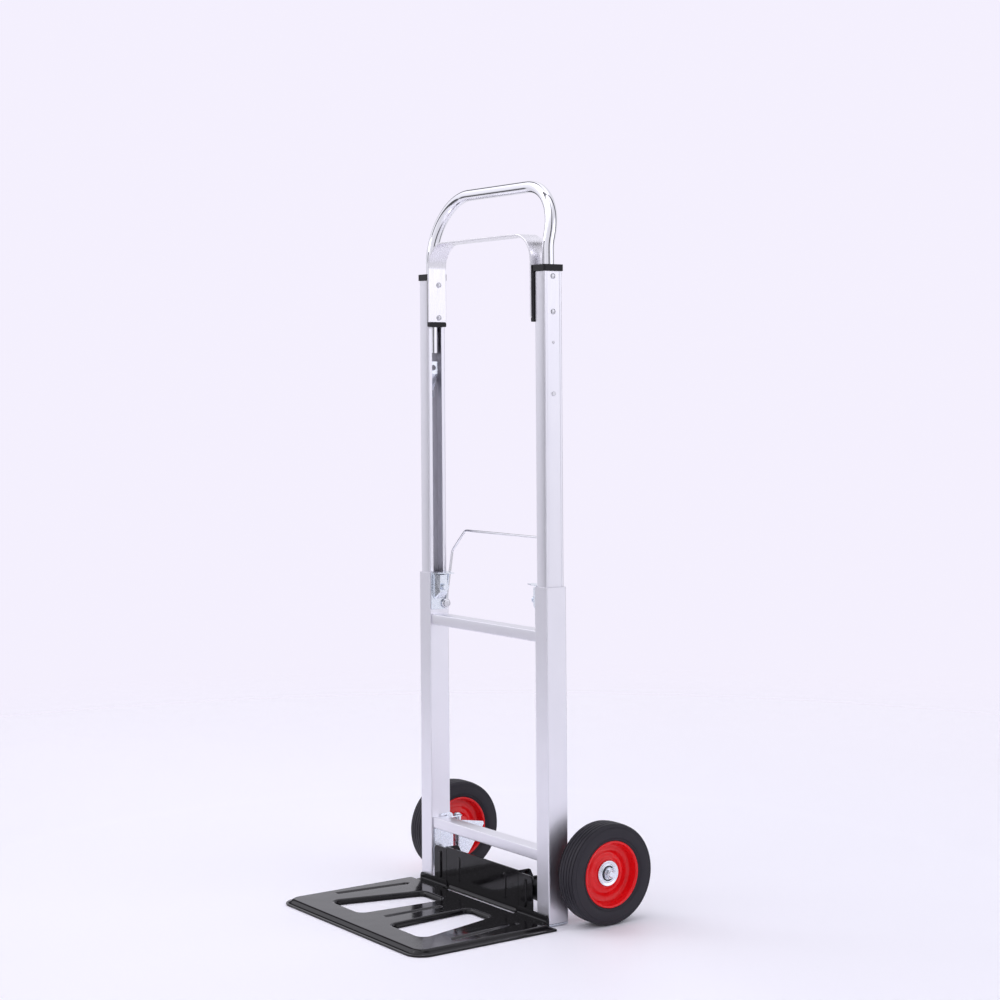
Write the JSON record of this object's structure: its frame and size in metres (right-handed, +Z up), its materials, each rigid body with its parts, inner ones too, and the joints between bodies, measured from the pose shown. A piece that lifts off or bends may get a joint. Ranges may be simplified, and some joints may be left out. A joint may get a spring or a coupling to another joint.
{
  "type": "folding hand truck",
  "caption": "Folding hand truck with telescopic aluminium rails, chrome U handle, release bail, hinged black toe plate and red-hubbed wheels that swing in.",
  "frame": {"origin": "on the floor at the centre of the bounding box's footprint, truck opened for use", "axes": "+Z up along the rails, +Y to the rear (wheel side), -Y to the front (toe plate side), +X to the right seen from the front"},
  "size_m": [0.4394, 0.4062, 1.1096],
  "materials": {
    "aluminium": "satin anodised extrusion",
    "chrome": "bright chrome plating",
    "zinc": "bright zinc plating, slightly blue",
    "steel": "plated steel fasteners",
    "black_enamel": "glossy black enamel on pressed steel",
    "black_plastic": "moulded black plastic",
    "tyre_rubber": "solid black rubber",
    "red_paint": "glossy red enamel on pressed steel"
  },
  "bodies": {
    "lower_frame": {"mid_crossbar": "aluminium", "low_crossbar": "aluminium", "lower_rail_left": "aluminium", "lower_rail_right": "aluminium", "rail_foot_left": "zinc", "rail_foot_right": "zinc", "release_bracket_left": "zinc", "release_bracket_right": "zinc", "bail_stud_left": "steel", "bail_stud_right": "steel", "lock_spring_left": "steel", "lock_spring_right": "steel", "toe_hinge_pin_left": "steel", "toe_hinge_pin_right": "steel", "wheel_bracket_left": "zinc", "wheel_bracket_right": "zinc", "swing_pin_left": "steel", "swing_pin_right": "steel"},
    "upper_frame": {"handle_tube": "chrome", "handle_brace": "aluminium", "upper_rail_left": "aluminium", "upper_rail_right": "aluminium", "slide_bush_left": "black_plastic", "slide_bush_right": "black_plastic", "catch_plate_left": "zinc", "catch_plate_right": "zinc", "catch_rivet_left": "steel", "catch_rivet_right": "steel", "end_cap_left": "black_plastic", "end_cap_right": "black_plastic", "brace_rivet_high_left": "steel", "brace_rivet_high_right": "steel", "brace_rivet_low_left": "steel", "brace_rivet_low_right": "steel"},
    "toe_fold": {"toe_plate": "black_enamel", "toe_hinge_bush_left": "black_plastic", "toe_hinge_bush_right": "black_plastic"},
    "bail": {"release_bail": "chrome"},
    "swing_left": {"swing_bracket_left": "zinc", "axle_left": "steel", "axle_spacer_left": "steel", "axle_washer_left": "steel", "axle_nut_left": "steel"},
    "wheel_left": {"tyre_left": "tyre_rubber", "hub_left": "red_paint", "hub_bearing_left": "zinc"},
    "pin_left": {"lock_pin_left": "steel"},
    "swing_right": {"swing_bracket_right": "zinc", "axle_right": "steel", "axle_spacer_right": "steel", "axle_washer_right": "steel", "axle_nut_right": "steel"},
    "wheel_right": {"tyre_right": "tyre_rubber", "hub_right": "red_paint", "hub_bearing_right": "zinc"},
    "pin_right": {"lock_pin_right": "steel"}
  },
  "joints": [
    {"name": "upper_slide", "type": "slide", "parent": "lower_frame", "child": "upper_frame", "axis": [0, 0, 1], "range_m": [-0.35, 0]},
    {"name": "toe_plate_fold", "type": "hinge", "parent": "lower_frame", "child": "toe_fold", "pos_m": [0, 0.06605, 0.042], "axis": [-1, 0, 0], "range_deg": [0, 90]},
    {"name": "bail_pull", "type": "hinge", "parent": "lower_frame", "child": "bail", "pos_m": [0, 0.07305, 0.45], "axis": [-1, 0, 0], "range_deg": [0, 30], "stiffness_Nm_per_rad": 0.6, "springref_deg": -22.92},
    {"name": "wheel_swing_left", "type": "hinge", "parent": "lower_frame", "child": "swing_left", "pos_m": [-0.148, 0.09905, 0.073], "axis": [0, 0, -1], "range_deg": [0, 90]},
    {"name": "wheel_spin_left", "type": "hinge", "parent": "swing_left", "child": "wheel_left", "pos_m": [-0.1997, 0.12805, 0.075], "axis": [1, 0, 0], "continuous": true},
    {"name": "lock_pin_slide_left", "type": "slide", "parent": "lower_frame", "child": "pin_left", "axis": [1, 0, 0], "range_m": [0, 0.006], "deforming": ["lock_spring_left"]},
    {"name": "wheel_swing_right", "type": "hinge", "parent": "lower_frame", "child": "swing_right", "pos_m": [0.148, 0.09905, 0.073], "axis": [0, 0, 1], "range_deg": [0, 90]},
    {"name": "wheel_spin_right", "type": "hinge", "parent": "swing_right", "child": "wheel_right", "pos_m": [0.1997, 0.12805, 0.075], "axis": [1, 0, 0], "continuous": true},
    {"name": "lock_pin_slide_right", "type": "slide", "parent": "lower_frame", "child": "pin_right", "axis": [-1, 0, 0], "range_m": [0, 0.006], "deforming": ["lock_spring_right"]}
  ],
  "couplings": [
    {"joint": "wheel_swing_left", "follows": "toe_plate_fold", "ratio": 1},
    {"joint": "lock_pin_slide_left", "follows": "bail_pull", "m_per_rad": 0.01145},
    {"joint": "wheel_swing_right", "follows": "toe_plate_fold", "ratio": 1},
    {"joint": "lock_pin_slide_right", "follows": "bail_pull", "m_per_rad": 0.01145}
  ]
}
